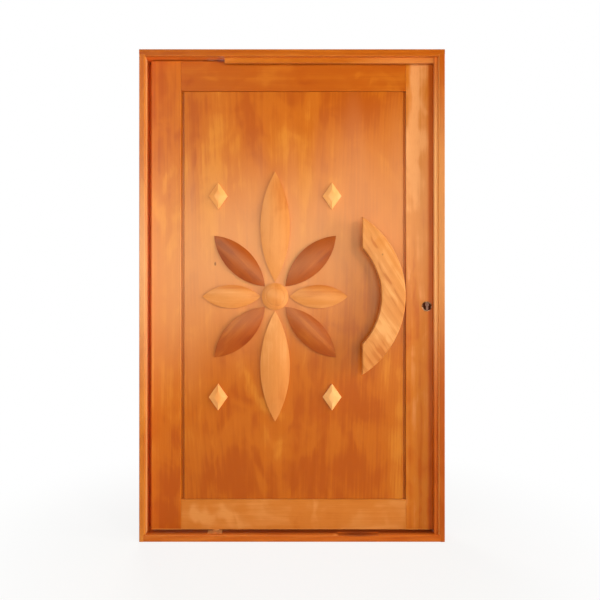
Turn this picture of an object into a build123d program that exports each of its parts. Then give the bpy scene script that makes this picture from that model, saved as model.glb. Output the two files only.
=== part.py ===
"""Pivot entry door: a framed and panelled timber leaf on an offset floor and head pivot, in its frame.

Millimetres. X runs from the pivot side to the lock side, Y into the building and Z up. The origin is the
centre of the sill's underside, half way through the depth of the frame.
"""

import os

from build123d import *

# Leaf: two full-height stiles, two rails tenoned between them, and a fielded panel in their grooves
LEAF_WIDTH = 1266.0
LEAF_HEIGHT = 2100.0
LEAF_THICKNESS = 45.0
PIVOT_STILE_WIDTH = 134.0
LOCK_STILE_WIDTH = 125.0
TOP_RAIL_HEIGHT = 136.0
BOTTOM_RAIL_HEIGHT = 135.0
TENON_LENGTH = 50.0
GROOVE_DEPTH = 12.0
TONGUE_THICKNESS = 17.0
TONGUE_PLAY = 2.0
FIELD_RECESS = 2.0
QUIRK_WIDTH = 13.0
RAIL_CLEARANCE = 0.8
LEAF_ARRIS = 1.5

# Frame: four boards of one depth, the head over the jambs and the sill between them
FRAME_DEPTH = 140.0
JAMB_THICKNESS = 27.0
HEAD_THICKNESS = 31.0
SILL_THICKNESS = 31.0
HOUSING_DEPTH = 8.0
FRAME_ARRIS = 2.0
NOSING_RADIUS = 7.0
LEAF_SETBACK = 40.0
PIVOT_SIDE_GAP = 18.0
LOCK_SIDE_GAP = 12.0
TOP_GAP = 5.0
BOTTOM_GAP = 8.0

# Stops: in front of the leaf on the lock side of the pivot, behind it on the other side
STOP_BREADTH = 23.0
STOP_THICKNESS = 17.0
STOP_GAP = 5.0
STOP_ARRIS = 2.5
STOP_SWING_CLEARANCE = 22.0

# Worn flat along the front of the sill, where feet cross it
WEAR_CENTRE = 294.0
WEAR_LENGTH = 190.0
WEAR_DEPTH = 3.5
WEAR_REACH = 36.0
WEAR_RAMP = 9.0

# Pivot set: a pin with a bearing collar in the sill, and a pin in the leaf's top edge under the head
PIVOT_SETBACK = 286.0
PIVOT_PLATE_LENGTH = 110.0
PIVOT_PLATE_WIDTH = 30.0
FLOOR_PLATE_THICKNESS = 8.0
FLOOR_PLATE_WIDTH = 64.0
FLOOR_PLATE_LENGTH = 98.0
FLOOR_PIN_RADIUS = 9.0
FLOOR_PIN_REACH = 24.0
COLLAR_RADIUS = 15.0
COLLAR_PLAY = 0.3
SHOE_HEIGHT = 30.0
TOP_PLATE_THICKNESS = 6.0
TOP_PIN_RADIUS = 8.0
TOP_PIN_REACH = 14.0
SOCKET_HEIGHT = 20.0
PIN_PLAY = 0.05
PIN_END_PLAY = 1.0

# Crescent pull: two arcs cut by an upright chord, on two turned posts
PULL_HEIGHT = 1047.0
PULL_OUTER_RADIUS = 410.0
PULL_INNER_RADIUS = 306.0
PULL_WIDTH = 107.0
PULL_THICKNESS = 30.0
PULL_ARRIS = 6.0
PULL_DEPTH = 191.0
PULL_EDGE_GAP = 12.0
POST_LENGTH = 32.0
POST_RADIUS = 17.0
POST_WAIST_RADIUS = 12.5
POST_FOOT_LENGTH = 5.0
POST_END_INSET = 109.0
POST_INSET = 48.0

# Lock: a profile cylinder between two roses, with its bolt drawn back behind the face plate
LOCK_HEIGHT = 1000.0
LOCK_BACKSET = 32.0
ROSE_RADIUS = 22.0
ROSE_THICKNESS = 6.0
ROSE_ROUND = 3.5
CYLINDER_RADIUS = 8.5
CYLINDER_HEIGHT = 33.0
CYLINDER_LOBE_RADIUS = 5.0
CYLINDER_REACH = 3.0
CYLINDER_PLAY = 0.3
KEYWAY_WIDTH = 2.4
KEYWAY_HEIGHT = 9.0
KEYWAY_DEPTH = 6.0
FACEPLATE_LENGTH = 200.0
FACEPLATE_WIDTH = 24.0
FACEPLATE_THICKNESS = 3.0
BOLT_LENGTH = 22.0
BOLT_WIDTH = 12.0
BOLT_HEIGHT = 34.0
BOLT_PLAY = 0.5
BOLT_DROP = 35.0
STRIKE_LENGTH = 120.0
STRIKE_RECESS = 16.0

# Rosette: lens-shaped petals about a turned boss, with a lozenge stud in each corner
ROSETTE_OFFSET = 75.0
ROSETTE_HEIGHT = 1044.0
BOSS_RADIUS = 60.0
BOSS_RIM = 9.0
BOSS_CROWN = 20.0
BOSS_GROOVE_RADIUS = 41.0
BOSS_GROOVE_WIDTH = 3.0
PETAL_ROOT_GAP = 5.0
PETAL_CROWN = 17.0
PETAL_SIDE = 9.0
PETAL_TIP = 4.0
UPRIGHT_PETAL_LENGTH = 495.0
UPRIGHT_PETAL_WIDTH = 132.0
DIAGONAL_PETAL_LENGTH = 320.0
DIAGONAL_PETAL_WIDTH = 116.0
LEVEL_PETAL_LENGTH = 260.0
LEVEL_PETAL_WIDTH = 104.0
STUD_HEIGHT = 120.0
STUD_WIDTH = 84.0
STUD_EDGE = 6.0
STUD_CROWN = 15.0
STUD_TOP_SHARE = 0.45
STUD_SPREAD_ACROSS = 255.0
STUD_SPREAD_UP = 450.0

# Places that follow from the sizes above
JAMB_FACE = (PIVOT_SIDE_GAP + LEAF_WIDTH + LOCK_SIDE_GAP) / 2
FRAME_EDGE = JAMB_FACE + JAMB_THICKNESS
FRAME_FRONT = -FRAME_DEPTH / 2
FRAME_BACK = FRAME_DEPTH / 2
LEAF_LEFT = -JAMB_FACE + PIVOT_SIDE_GAP
LEAF_RIGHT = JAMB_FACE - LOCK_SIDE_GAP
LEAF_BOTTOM = SILL_THICKNESS + BOTTOM_GAP
LEAF_TOP = LEAF_BOTTOM + LEAF_HEIGHT
HEAD_UNDERSIDE = LEAF_TOP + TOP_GAP
FRAME_TOP = HEAD_UNDERSIDE + HEAD_THICKNESS
LEAF_FRONT = FRAME_FRONT + LEAF_SETBACK
LEAF_BACK = LEAF_FRONT + LEAF_THICKNESS
LEAF_MIDDLE = (LEAF_FRONT + LEAF_BACK) / 2
FIELD_FRONT = LEAF_FRONT + FIELD_RECESS
FIELD_BACK = LEAF_BACK - FIELD_RECESS
TONGUE = (LEAF_MIDDLE - TONGUE_THICKNESS / 2, LEAF_MIDDLE + TONGUE_THICKNESS / 2)
PANEL_LEFT = LEAF_LEFT + PIVOT_STILE_WIDTH
PANEL_RIGHT = LEAF_RIGHT - LOCK_STILE_WIDTH
PANEL_BOTTOM = LEAF_BOTTOM + BOTTOM_RAIL_HEIGHT
PANEL_TOP = LEAF_TOP - TOP_RAIL_HEIGHT
AXIS_X = LEAF_LEFT + PIVOT_SETBACK
LOCK_X = LEAF_RIGHT - LOCK_BACKSET
LOCK_Z = LEAF_BOTTOM + LOCK_HEIGHT
PULL_RIGHT = PANEL_RIGHT - PULL_EDGE_GAP
PULL_CUT = PULL_RIGHT - PULL_DEPTH
PULL_BACK = FIELD_FRONT - POST_LENGTH
PULL_Z = LEAF_BOTTOM + PULL_HEIGHT
PULL_HALF_LENGTH = (PULL_OUTER_RADIUS**2 - (PULL_OUTER_RADIUS - PULL_DEPTH) ** 2) ** 0.5
ROSETTE_X = -ROSETTE_OFFSET
ROSETTE_Z = LEAF_BOTTOM + ROSETTE_HEIGHT


def block(x, y, z):
    """A box between a (low, high) pair on each axis."""
    sizes = [high - low for low, high in (x, y, z)]
    middles = [(low + high) / 2 for low, high in (x, y, z)]
    return Pos(*middles) * Box(*sizes)


def span(middle, length):
    """The (low, high) pair of a length about its middle."""
    return (middle - length / 2, middle + length / 2)


def upright_board(x, y, z, arris):
    """A board standing along Z with its four long edges eased."""
    section = Rectangle(x[1] - x[0], y[1] - y[0])
    section = chamfer(section.vertices(), arris)
    return Pos(sum(x) / 2, sum(y) / 2, z[0]) * extrude(section, amount=z[1] - z[0])


def level_board(x, y, z, arris):
    """A board lying along X with its four long edges eased."""
    section = Rectangle(y[1] - y[0], z[1] - z[0])
    section = Plane.YZ * chamfer(section.vertices(), arris)
    return Pos(x[0], sum(y) / 2, sum(z) / 2) * extrude(section, amount=x[1] - x[0])


def toward_front(x, y, z):
    """A plane at a point, facing out of the front, with its own X along X and its own Y up."""
    return Plane(origin=(x, y, z), x_dir=(1, 0, 0), z_dir=(0, -1, 0))


def upright_rod(radius, x, y, z):
    """A rod standing along Z between the (low, high) pair z."""
    return Pos(x, y, (z[0] + z[1]) / 2) * Cylinder(radius, z[1] - z[0])


# Frame

def jamb(inner, outer):
    """One jamb, from the floor to the head's housing, housed for the end of the sill."""
    x = sorted((inner, outer))
    board = upright_board(
        x, (FRAME_FRONT, FRAME_BACK), (0.0, HEAD_UNDERSIDE + HOUSING_DEPTH), FRAME_ARRIS
    )
    step = HOUSING_DEPTH if outer > inner else -HOUSING_DEPTH
    housing = sorted((inner, inner + step))
    return board - block(housing, (FRAME_FRONT, FRAME_BACK), (0.0, SILL_THICKNESS))


def lock_jamb():
    """The lock jamb, cut for the strike plate and the bolt's pocket."""
    board = jamb(JAMB_FACE, FRAME_EDGE)
    plate = (JAMB_FACE, JAMB_FACE + FACEPLATE_THICKNESS)
    pocket = (JAMB_FACE, JAMB_FACE + STRIKE_RECESS)
    board -= block(plate, span(LEAF_MIDDLE, FACEPLATE_WIDTH), span(LOCK_Z, STRIKE_LENGTH))
    return board - block(pocket, *bolt_opening())


def bolt_opening():
    """The Y and Z spans of the hole that the bolt runs through."""
    return (
        span(LEAF_MIDDLE, BOLT_WIDTH + 2 * BOLT_PLAY),
        span(LOCK_Z - BOLT_DROP, BOLT_HEIGHT + 2 * BOLT_PLAY),
    )


def head_jamb():
    """The head, over both jambs, cut for the top pivot's socket."""
    board = level_board(
        (-FRAME_EDGE, FRAME_EDGE), (FRAME_FRONT, FRAME_BACK), (HEAD_UNDERSIDE, FRAME_TOP), FRAME_ARRIS
    )
    housing = (HEAD_UNDERSIDE, HEAD_UNDERSIDE + HOUSING_DEPTH)
    for side in ((-FRAME_EDGE, -JAMB_FACE), (JAMB_FACE, FRAME_EDGE)):
        board -= block(side, (FRAME_FRONT, FRAME_BACK), housing)
    return board - pivot_plate(HEAD_UNDERSIDE, HEAD_UNDERSIDE + SOCKET_HEIGHT)


def sill():
    """The sill between the jambs, with a rounded nosing, cut for the floor pivot and worn at the front."""
    section = Rectangle(FRAME_DEPTH, SILL_THICKNESS)
    front = section.vertices().group_by(Axis.X)[0]
    section = fillet(front.sort_by(Axis.Y)[-1], NOSING_RADIUS)
    back = section.vertices().group_by(Axis.X)[-1]
    bottom = section.vertices().group_by(Axis.Y)[0]
    section = chamfer(ShapeList(set(back + bottom)), FRAME_ARRIS)
    reach = JAMB_FACE + HOUSING_DEPTH
    board = Pos(-reach, 0, SILL_THICKNESS / 2) * extrude(Plane.YZ * section, amount=2 * reach)
    return board - floor_plate() - worn_flat()


def worn_flat():
    """A shallow flat with a ramp at each end, from the front face to just short of the leaf."""
    half, low = WEAR_LENGTH / 2, SILL_THICKNESS - WEAR_DEPTH
    profile = Polygon(
        (-half, SILL_THICKNESS),
        (-half + WEAR_RAMP, low),
        (half - WEAR_RAMP, low),
        (half, SILL_THICKNESS),
        align=None,
    )
    return extrude(toward_front(WEAR_CENTRE, FRAME_FRONT + WEAR_REACH, 0) * profile, amount=WEAR_REACH)


def side_stop(edge, towards, y):
    """A stop strip up one jamb, from the sill to the head, with its thickness across the doorway."""
    x = sorted((edge, edge + towards * STOP_THICKNESS))
    strip = block(x, y, (SILL_THICKNESS, HEAD_UNDERSIDE))
    return eased_stop(strip, Axis.X, towards)


def head_stop(x, y):
    """A stop strip along the underside of the head, with its breadth upright."""
    strip = block(x, y, (HEAD_UNDERSIDE - STOP_BREADTH, HEAD_UNDERSIDE))
    return eased_stop(strip, Axis.Z, -1)


def eased_stop(strip, axis, towards):
    """A stop strip with the two long arrises of its free edge eased."""
    faces = strip.faces().sort_by(axis)
    free = faces[-1] if towards > 0 else faces[0]
    along = Axis.Z if axis == Axis.X else Axis.X
    return chamfer(free.edges().filter_by(along), STOP_ARRIS)


def front_stop_depths(size):
    """The Y span of a stop that the leaf closes against from behind, with that size along Y."""
    return (LEAF_FRONT - STOP_GAP - size, LEAF_FRONT - STOP_GAP)


def rear_stop_depths(size):
    """The Y span of a stop that the leaf closes against from the front, with that size along Y."""
    return (LEAF_BACK + STOP_GAP, LEAF_BACK + STOP_GAP + size)


def strike_plate():
    """The plate let into the lock jamb, with the bolt's hole."""
    thickness = (JAMB_FACE, JAMB_FACE + FACEPLATE_THICKNESS)
    plate = block(thickness, span(LEAF_MIDDLE, FACEPLATE_WIDTH), span(LOCK_Z, STRIKE_LENGTH))
    return plate - block(thickness, *bolt_opening())


# Pivot set

def pivot_plate(low, high):
    """The plan of the plates in the leaf's edges and under the head, between two heights."""
    return block(span(AXIS_X, PIVOT_PLATE_LENGTH), span(LEAF_MIDDLE, PIVOT_PLATE_WIDTH), (low, high))


def floor_plate():
    """The floor pivot's plate, let in level with the sill and reaching out in front of the leaf."""
    thickness = (SILL_THICKNESS - FLOOR_PLATE_THICKNESS, SILL_THICKNESS)
    return block(span(AXIS_X, FLOOR_PLATE_WIDTH), span(LEAF_MIDDLE, FLOOR_PLATE_LENGTH), thickness)


def floor_pivot():
    """The plate in the sill with the pin, and the collar that carries the leaf."""
    plate = floor_plate()
    collar = upright_rod(COLLAR_RADIUS, AXIS_X, LEAF_MIDDLE, (SILL_THICKNESS, LEAF_BOTTOM - COLLAR_PLAY))
    pin = upright_rod(FLOOR_PIN_RADIUS, AXIS_X, LEAF_MIDDLE, (SILL_THICKNESS, LEAF_BOTTOM + FLOOR_PIN_REACH))
    return plate + collar + pin


def bottom_pivot_shoe():
    """A block let into the leaf's bottom edge, bored for the floor pin."""
    shoe = pivot_plate(LEAF_BOTTOM, LEAF_BOTTOM + SHOE_HEIGHT)
    bore = (LEAF_BOTTOM, LEAF_BOTTOM + FLOOR_PIN_REACH + PIN_END_PLAY)
    return shoe - upright_rod(FLOOR_PIN_RADIUS + PIN_PLAY, AXIS_X, LEAF_MIDDLE, bore)


def top_pivot_pin():
    """A plate let into the leaf's top edge, with the pin that stands up into the head."""
    plate = pivot_plate(LEAF_TOP - TOP_PLATE_THICKNESS, LEAF_TOP)
    pin = (LEAF_TOP, HEAD_UNDERSIDE + TOP_PIN_REACH)
    return plate + upright_rod(TOP_PIN_RADIUS, AXIS_X, LEAF_MIDDLE, pin)


def top_pivot_socket():
    """A block let into the head's underside, bored for the top pin."""
    socket = pivot_plate(HEAD_UNDERSIDE, HEAD_UNDERSIDE + SOCKET_HEIGHT)
    bore = (HEAD_UNDERSIDE, HEAD_UNDERSIDE + TOP_PIN_REACH + PIN_END_PLAY)
    return socket - upright_rod(TOP_PIN_RADIUS + PIN_PLAY, AXIS_X, LEAF_MIDDLE, bore)


# Leaf

def stile(x):
    """One full-height stile, before its groove and mortises."""
    return upright_board(x, (LEAF_FRONT, LEAF_BACK), (LEAF_BOTTOM, LEAF_TOP), LEAF_ARRIS)


def pivot_stile():
    board = stile((LEAF_LEFT, PANEL_LEFT))
    return board - joinery((PANEL_LEFT - GROOVE_DEPTH, PANEL_LEFT), (PANEL_LEFT - TENON_LENGTH, PANEL_LEFT))


def lock_stile():
    """The lock stile, also cut for the cylinder, the face plate and the bolt."""
    board = stile((PANEL_RIGHT, LEAF_RIGHT))
    board -= joinery((PANEL_RIGHT, PANEL_RIGHT + GROOVE_DEPTH), (PANEL_RIGHT, PANEL_RIGHT + TENON_LENGTH))
    plate = (LEAF_RIGHT - FACEPLATE_THICKNESS, LEAF_RIGHT)
    board -= block(plate, span(LEAF_MIDDLE, FACEPLATE_WIDTH), span(LOCK_Z, FACEPLATE_LENGTH))
    board -= block((LEAF_RIGHT - BOLT_LENGTH, LEAF_RIGHT), *bolt_opening())
    return board - cylinder_bar(LEAF_FRONT, LEAF_BACK, CYLINDER_PLAY)


def joinery(groove, mortise):
    """What a stile loses to the panel's groove and to the mortises of both rails."""
    panel = block(groove, TONGUE, (PANEL_BOTTOM - GROOVE_DEPTH, PANEL_TOP + GROOVE_DEPTH))
    low = block(mortise, TONGUE, (LEAF_BOTTOM, PANEL_BOTTOM - GROOVE_DEPTH))
    high = block(mortise, TONGUE, (PANEL_TOP + GROOVE_DEPTH, LEAF_TOP))
    return panel + low + high


def rail(z, groove):
    """One rail with a tenon at each end and the panel's groove along its inner edge."""
    tenons = (PANEL_LEFT - TENON_LENGTH, PANEL_RIGHT + TENON_LENGTH)
    board = level_board((PANEL_LEFT, PANEL_RIGHT), (LEAF_FRONT, LEAF_BACK), z, LEAF_ARRIS)
    board += block(tenons, TONGUE, z)
    return board - block(tenons, TONGUE, groove)


def top_rail():
    """The top rail, cut for the top pivot's plate."""
    board = rail((PANEL_TOP, LEAF_TOP), (PANEL_TOP, PANEL_TOP + GROOVE_DEPTH))
    return board - pivot_plate(LEAF_TOP - TOP_PLATE_THICKNESS, LEAF_TOP)


def bottom_rail():
    """The bottom rail, cut for the pivot shoe."""
    board = rail((LEAF_BOTTOM, PANEL_BOTTOM), (PANEL_BOTTOM - GROOVE_DEPTH, PANEL_BOTTOM))
    return board - pivot_plate(LEAF_BOTTOM, LEAF_BOTTOM + SHOE_HEIGHT)


def centre_panel():
    """The panel: a tongue in the grooves, and a thicker field with an open quirk beside each stile."""
    reach = GROOVE_DEPTH - TONGUE_PLAY
    tongue = block(
        (PANEL_LEFT - reach, PANEL_RIGHT + reach), TONGUE, (PANEL_BOTTOM - reach, PANEL_TOP + reach)
    )
    field = block(
        (PANEL_LEFT + QUIRK_WIDTH, PANEL_RIGHT - QUIRK_WIDTH),
        (FIELD_FRONT, FIELD_BACK),
        (PANEL_BOTTOM + RAIL_CLEARANCE, PANEL_TOP - RAIL_CLEARANCE),
    )
    return tongue + chamfer(field.edges(), LEAF_ARRIS)


# Crescent pull

def pull_handle():
    """The crescent between two arcs, cut by an upright line, with its arrises rounded."""
    outer = Pos(PULL_RIGHT - PULL_OUTER_RADIUS, 0) * Circle(PULL_OUTER_RADIUS)
    inner = Pos(PULL_RIGHT - PULL_WIDTH - PULL_INNER_RADIUS, 0) * Circle(PULL_INNER_RADIUS)
    kept = Pos(PULL_CUT + PULL_DEPTH, 0) * Rectangle(2 * PULL_DEPTH, 2 * PULL_OUTER_RADIUS)
    outline = (outer - inner) & kept
    crescent = extrude(toward_front(0, PULL_BACK, PULL_Z) * outline, amount=PULL_THICKNESS)
    rims = crescent.edges().group_by(Axis.Y)
    return fillet(rims[0] + rims[-1], PULL_ARRIS)


def handle_post(side):
    """A turned post with a foot at each end, above (1) or below (-1) the middle of the pull."""
    half = POST_LENGTH / 2
    waist = half - POST_FOOT_LENGTH
    with BuildSketch() as sketch:
        with BuildLine():
            Polyline((0, -half), (POST_RADIUS, -half), (POST_RADIUS, -waist))
            ThreePointArc((POST_RADIUS, -waist), (POST_WAIST_RADIUS, 0), (POST_RADIUS, waist))
            Polyline((POST_RADIUS, waist), (POST_RADIUS, half), (0, half), (0, -half))
        make_face()
    turned = revolve(sketch.sketch, Axis.Y)
    spread = PULL_HALF_LENGTH - POST_END_INSET
    return Pos(PULL_CUT + POST_INSET, FIELD_FRONT - half, PULL_Z + side * spread) * turned


# Lock

def cylinder_profile(play):
    """The lock cylinder's outline: a round barrel over a narrower rounded lobe."""
    barrel = Pos(0, LOCK_Z + CYLINDER_HEIGHT / 2 - CYLINDER_RADIUS) * Circle(CYLINDER_RADIUS + play)
    low = LOCK_Z - CYLINDER_HEIGHT / 2 + CYLINDER_LOBE_RADIUS
    high = LOCK_Z + CYLINDER_HEIGHT / 2 - CYLINDER_RADIUS
    lobe = Pos(0, low) * Circle(CYLINDER_LOBE_RADIUS + play)
    web = Pos(0, (low + high) / 2) * Rectangle(2 * (CYLINDER_LOBE_RADIUS + play), high - low)
    return barrel + lobe + web


def cylinder_bar(front, back, play):
    """The cylinder's outline drawn through the leaf from front to back."""
    return extrude(toward_front(LOCK_X, back, 0) * cylinder_profile(play), amount=back - front)


def lock_cylinder():
    """The profile cylinder, with an upright keyway in the barrel at each end."""
    front = LEAF_FRONT - ROSE_THICKNESS - CYLINDER_REACH
    back = LEAF_BACK + ROSE_THICKNESS + CYLINDER_REACH
    bar = cylinder_bar(front, back, 0)
    barrel_z = LOCK_Z + CYLINDER_HEIGHT / 2 - CYLINDER_RADIUS
    for depths in ((front, front + KEYWAY_DEPTH), (back - KEYWAY_DEPTH, back)):
        bar -= block(span(LOCK_X, KEYWAY_WIDTH), depths, span(barrel_z, KEYWAY_HEIGHT))
    return bar


def lock_rose(seat, outward):
    """A round rose on one face of the lock stile, pierced for the cylinder."""
    disc = Pos(LOCK_X, seat + outward * ROSE_THICKNESS / 2, LOCK_Z) * Rot(90, 0, 0)
    disc = disc * Cylinder(ROSE_RADIUS, ROSE_THICKNESS)
    rims = disc.edges().group_by(Axis.Y)
    disc = fillet(rims[-1] if outward > 0 else rims[0], ROSE_ROUND)
    ends = sorted((seat, seat + outward * ROSE_THICKNESS))
    return disc - cylinder_bar(ends[0], ends[1], CYLINDER_PLAY)


def lock_faceplate():
    """The plate let into the leaf's lock edge, with the bolt's hole."""
    plate = (LEAF_RIGHT - FACEPLATE_THICKNESS, LEAF_RIGHT)
    face = block(plate, span(LEAF_MIDDLE, FACEPLATE_WIDTH), span(LOCK_Z, FACEPLATE_LENGTH))
    return face - block(plate, *bolt_opening())


def latch_bolt():
    """The bolt, drawn back level with the face plate."""
    return block((LEAF_RIGHT - BOLT_LENGTH, LEAF_RIGHT), span(LEAF_MIDDLE, BOLT_WIDTH),
                 span(LOCK_Z - BOLT_DROP, BOLT_HEIGHT))


# Rosette

def rosette_boss():
    """The turned boss: a rim, a ring groove and a low dome."""
    dome_radius = (BOSS_RADIUS**2 + (BOSS_CROWN - BOSS_RIM) ** 2) / (2 * (BOSS_CROWN - BOSS_RIM))
    drum = extrude(Circle(BOSS_RADIUS), amount=BOSS_CROWN)
    boss = drum & (Pos(0, 0, BOSS_CROWN - dome_radius) * Sphere(dome_radius))
    groove = Pos(0, 0, BOSS_CROWN - BOSS_GROOVE_WIDTH) * Torus(BOSS_GROOVE_RADIUS, BOSS_GROOVE_WIDTH)
    return toward_front(ROSETTE_X, FIELD_FRONT, ROSETTE_Z) * (boss - groove)


def petal(angle, length, width):
    """One lens-shaped petal, crowned along and across, pointing out at an angle from the right."""
    side_radius = ((length / 2) ** 2 + (width / 2) ** 2) / width
    offset = side_radius - width / 2
    lens = (Pos(0, offset) * Circle(side_radius)) & (Pos(0, -offset) * Circle(side_radius))
    along = (length / 2) ** 2 / (2 * (PETAL_CROWN - PETAL_TIP))
    across = (width / 2) ** 2 / (2 * (PETAL_CROWN - PETAL_SIDE))
    crown = Pos(0, 0, PETAL_CROWN - along) * Rot(90, 0, 0) * Torus(along - across, across)
    leaf = extrude(lens, amount=PETAL_CROWN) & crown
    middle = BOSS_RADIUS + PETAL_ROOT_GAP + length / 2
    return toward_front(ROSETTE_X, FIELD_FRONT, ROSETTE_Z) * Rot(0, 0, angle) * Pos(middle, 0, 0) * leaf


def lozenge_stud(across, up):
    """A lozenge stud with four faceted sides and a small flat top."""
    tip, side = STUD_HEIGHT / 2, STUD_WIDTH / 2
    outline = Polygon((0, -tip), (side, 0), (0, tip), (-side, 0), align=None)
    base = extrude(outline, amount=STUD_EDGE)
    top = Pos(0, 0, STUD_CROWN) * scale(outline, by=STUD_TOP_SHARE)
    stud = base + loft([Pos(0, 0, STUD_EDGE) * outline, top])
    x = ROSETTE_X + across * STUD_SPREAD_ACROSS
    return toward_front(x, FIELD_FRONT, ROSETTE_Z + up * STUD_SPREAD_UP) * stud


PETALS = {
    "petal_east": (0, LEVEL_PETAL_LENGTH, LEVEL_PETAL_WIDTH),
    "petal_north_east": (45, DIAGONAL_PETAL_LENGTH, DIAGONAL_PETAL_WIDTH),
    "petal_north": (90, UPRIGHT_PETAL_LENGTH, UPRIGHT_PETAL_WIDTH),
    "petal_north_west": (135, DIAGONAL_PETAL_LENGTH, DIAGONAL_PETAL_WIDTH),
    "petal_west": (180, LEVEL_PETAL_LENGTH, LEVEL_PETAL_WIDTH),
    "petal_south_west": (225, DIAGONAL_PETAL_LENGTH, DIAGONAL_PETAL_WIDTH),
    "petal_south": (270, UPRIGHT_PETAL_LENGTH, UPRIGHT_PETAL_WIDTH),
    "petal_south_east": (315, DIAGONAL_PETAL_LENGTH, DIAGONAL_PETAL_WIDTH),
}

STUDS = {
    "stud_upper_left": (-1, 1),
    "stud_upper_right": (1, 1),
    "stud_lower_left": (-1, -1),
    "stud_lower_right": (1, -1),
}


def frame_nodes():
    """The fixed pieces, by name."""
    lock_side, pivot_side = AXIS_X + swing_clearance(), AXIS_X - swing_clearance()
    inner = JAMB_FACE - STOP_THICKNESS
    return {
        "pivot_jamb": jamb(-JAMB_FACE, -FRAME_EDGE),
        "lock_jamb": lock_jamb(),
        "head_jamb": head_jamb(),
        "sill": sill(),
        "pivot_jamb_stop": side_stop(-JAMB_FACE, 1, rear_stop_depths(STOP_BREADTH)),
        "lock_jamb_stop": side_stop(JAMB_FACE, -1, front_stop_depths(STOP_BREADTH)),
        "head_stop_front": head_stop((lock_side, inner), front_stop_depths(STOP_THICKNESS)),
        "head_stop_rear": head_stop((-inner, pivot_side), rear_stop_depths(STOP_THICKNESS)),
        "strike_plate": strike_plate(),
        "floor_pivot": floor_pivot(),
        "top_pivot_socket": top_pivot_socket(),
    }


def swing_clearance():
    """How far a head stop keeps from the pivot axis, so that the open leaf clears its end."""
    return LEAF_THICKNESS / 2 + STOP_SWING_CLEARANCE


def leaf_nodes():
    """The pieces that swing with the leaf, by name."""
    nodes = {
        "pivot_stile": pivot_stile(),
        "lock_stile": lock_stile(),
        "top_rail": top_rail(),
        "bottom_rail": bottom_rail(),
        "centre_panel": centre_panel(),
        "bottom_pivot_shoe": bottom_pivot_shoe(),
        "top_pivot_pin": top_pivot_pin(),
        "pull_handle": pull_handle(),
        "upper_handle_post": handle_post(1),
        "lower_handle_post": handle_post(-1),
        "lock_faceplate": lock_faceplate(),
        "latch_bolt": latch_bolt(),
        "outer_lock_rose": lock_rose(LEAF_FRONT, -1),
        "inner_lock_rose": lock_rose(LEAF_BACK, 1),
        "lock_cylinder": lock_cylinder(),
        "rosette_boss": rosette_boss(),
    }
    nodes.update({name: petal(*shape) for name, shape in PETALS.items()})
    nodes.update({name: lozenge_stud(across, up) for name, (across, up) in STUDS.items()})
    return nodes


os.makedirs("parts", exist_ok=True)
for name, solid in {**frame_nodes(), **leaf_nodes()}.items():
    export_step(solid, f"parts/{name}.step")
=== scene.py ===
"""The looks of the pivot entry door: varnished timbers, ironmongery, studio light and camera."""

import math

import bmesh
import bpy
from mathutils import Matrix, Vector


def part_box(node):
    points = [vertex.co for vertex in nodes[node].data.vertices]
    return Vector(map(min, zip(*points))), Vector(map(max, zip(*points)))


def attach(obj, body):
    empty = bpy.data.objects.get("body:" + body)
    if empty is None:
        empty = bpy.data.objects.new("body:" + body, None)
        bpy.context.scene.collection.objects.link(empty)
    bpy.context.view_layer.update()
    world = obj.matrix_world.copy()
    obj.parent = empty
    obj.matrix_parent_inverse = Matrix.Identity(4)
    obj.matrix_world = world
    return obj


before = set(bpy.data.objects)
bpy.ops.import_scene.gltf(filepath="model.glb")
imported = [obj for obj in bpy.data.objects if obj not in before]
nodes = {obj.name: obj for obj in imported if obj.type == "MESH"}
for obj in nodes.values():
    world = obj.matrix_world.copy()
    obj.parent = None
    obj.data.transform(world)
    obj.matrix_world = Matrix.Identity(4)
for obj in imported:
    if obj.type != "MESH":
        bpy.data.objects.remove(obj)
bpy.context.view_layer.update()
scene = bpy.context.scene

# Camera and the photograph's framing, in metres
VIEW_DISTANCE = 2.5
VIEW_WIDTH = 2.647
CAMERA_X = -0.038
PICTURE_MIDDLE_X = 0.0353
PICTURE_MIDDLE_Z = 1.0677
SENSOR = 36.0
VIEW_END = 60.0
FRAME_FRONT_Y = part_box("sill")[0].y

# World: strengths as shares of a plain white, and the colours of its light and of the studio in the varnish
AMBIENT = 0.08
SIDE_LIGHT = 0.25
STUDIO_GREY = 0.05
WORLD_LIGHT = (1.0, 0.96, 0.92, 1.0)
WARM_GLOSS = (1.0, 0.85, 0.50, 1.0)
WHITE = (1.0, 1.0, 1.0, 1.0)

# Shares of a direction between which the world's side light rises and ends, and its studio goes dim
SIDEWAYS_FADE = (0.40, 0.80)
UPWARDS_FADE = (0.20, 0.60)
FORWARDS_FADE = (0.25, 0.65)

# Floor: its size and colour, where the shadow that the camera sees fades out, and where its sides turn
# light in the gloss, in metres
FLOOR_REACH = 14.0
FLOOR_DROP = 0.0005
FLOOR_COLOUR = (0.95, 0.95, 0.95, 1.0)
SHADOW_SHARE = 0.16
SHADOW_NEAR = 0.6
SHADOW_FAR = 1.8
ASIDE_FADE = (1.0, 3.0)

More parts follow.
